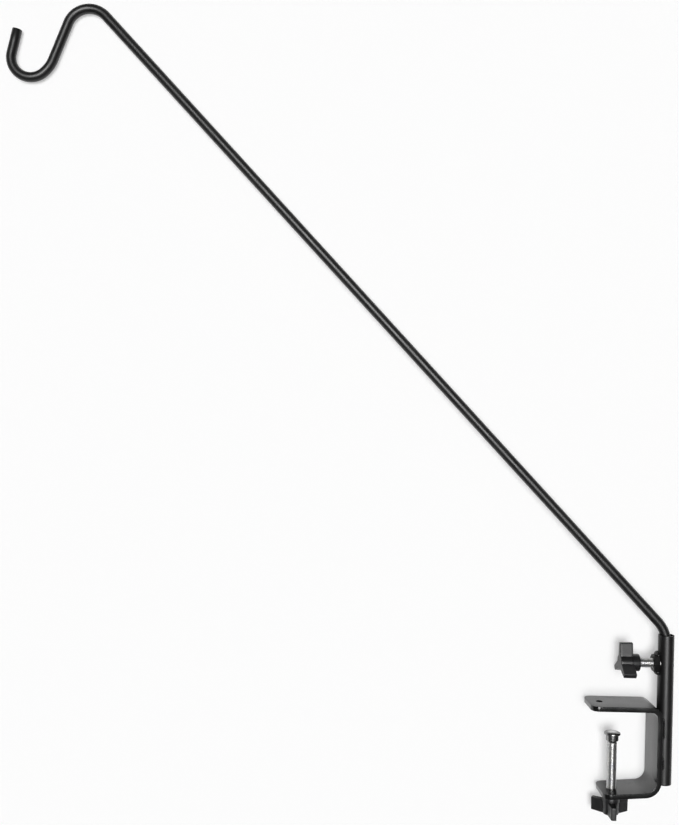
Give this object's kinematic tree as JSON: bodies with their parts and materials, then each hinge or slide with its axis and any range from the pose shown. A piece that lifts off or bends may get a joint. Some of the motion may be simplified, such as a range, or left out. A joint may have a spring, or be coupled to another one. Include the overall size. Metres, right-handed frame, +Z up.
{
  "type": "clamp-on deck hook",
  "caption": "Bent steel rod with an open hook end, standing in a tube on a screw clamp that grips a deck rail; knobs clamp the rail and lock the rod.",
  "frame": {"origin": "on the underside of the upper jaw, which rests on the rail, at the clamp screw's axis", "axes": "+Z up, +X from the mouth of the jaws to the tube that holds the rod, the rod and its hook lie in the XZ plane and reach toward -X"},
  "size_m": [0.696, 0.0404, 0.8152],
  "materials": {
    "black_powder_coat": "satin",
    "zinc_plated_steel": "satin",
    "black_plastic": "matt"
  },
  "bodies": {
    "clamp": {"clamp_strap": "black_powder_coat", "socket_tube": "black_powder_coat", "lock_nut": "black_powder_coat", "nut_weld_top": "black_powder_coat", "nut_weld_bottom": "black_powder_coat", "weld_upper_front": "black_powder_coat", "weld_upper_back": "black_powder_coat", "weld_lower_front": "black_powder_coat", "weld_lower_back": "black_powder_coat"},
    "hook": {"hook_rod": "black_powder_coat"},
    "lock_screw_body": {"lock_screw": "zinc_plated_steel"},
    "lock_knob_body": {"lock_knob": "black_plastic"},
    "pad_body": {"swivel_pad": "zinc_plated_steel"},
    "clamp_screw_body": {"clamp_screw": "zinc_plated_steel", "clamp_knob": "black_plastic"}
  },
  "joints": [
    {"name": "hook_swivel", "type": "hinge", "parent": "clamp", "child": "hook", "pos_m": [0.053, 0, 0], "axis": [0, 0, 1], "continuous": true},
    {"name": "lock_screw_travel", "type": "slide", "parent": "clamp", "child": "lock_screw_body", "axis": [-1, 0, 0], "range_m": [0, 0.0075]},
    {"name": "lock_knob_turn", "type": "hinge", "parent": "lock_screw_body", "child": "lock_knob_body", "pos_m": [0.01545, 0, 0.0455], "axis": [-1, 0, 0], "range_deg": [0, 1800]},
    {"name": "pad_travel", "type": "slide", "parent": "clamp", "child": "pad_body", "axis": [0, 0, 1], "range_m": [-0.0465, 0.00075]},
    {"name": "clamp_screw_turn", "type": "hinge", "parent": "pad_body", "child": "clamp_screw_body", "pos_m": [0, 0, -0.06], "axis": [0, 0, 1], "range_deg": [-11160, 180]}
  ],
  "couplings": [
    {"joint": "lock_knob_turn", "follows": "lock_screw_travel", "rad_per_m": 4188.8},
    {"joint": "clamp_screw_turn", "follows": "pad_travel", "rad_per_m": 4188.8}
  ]
}
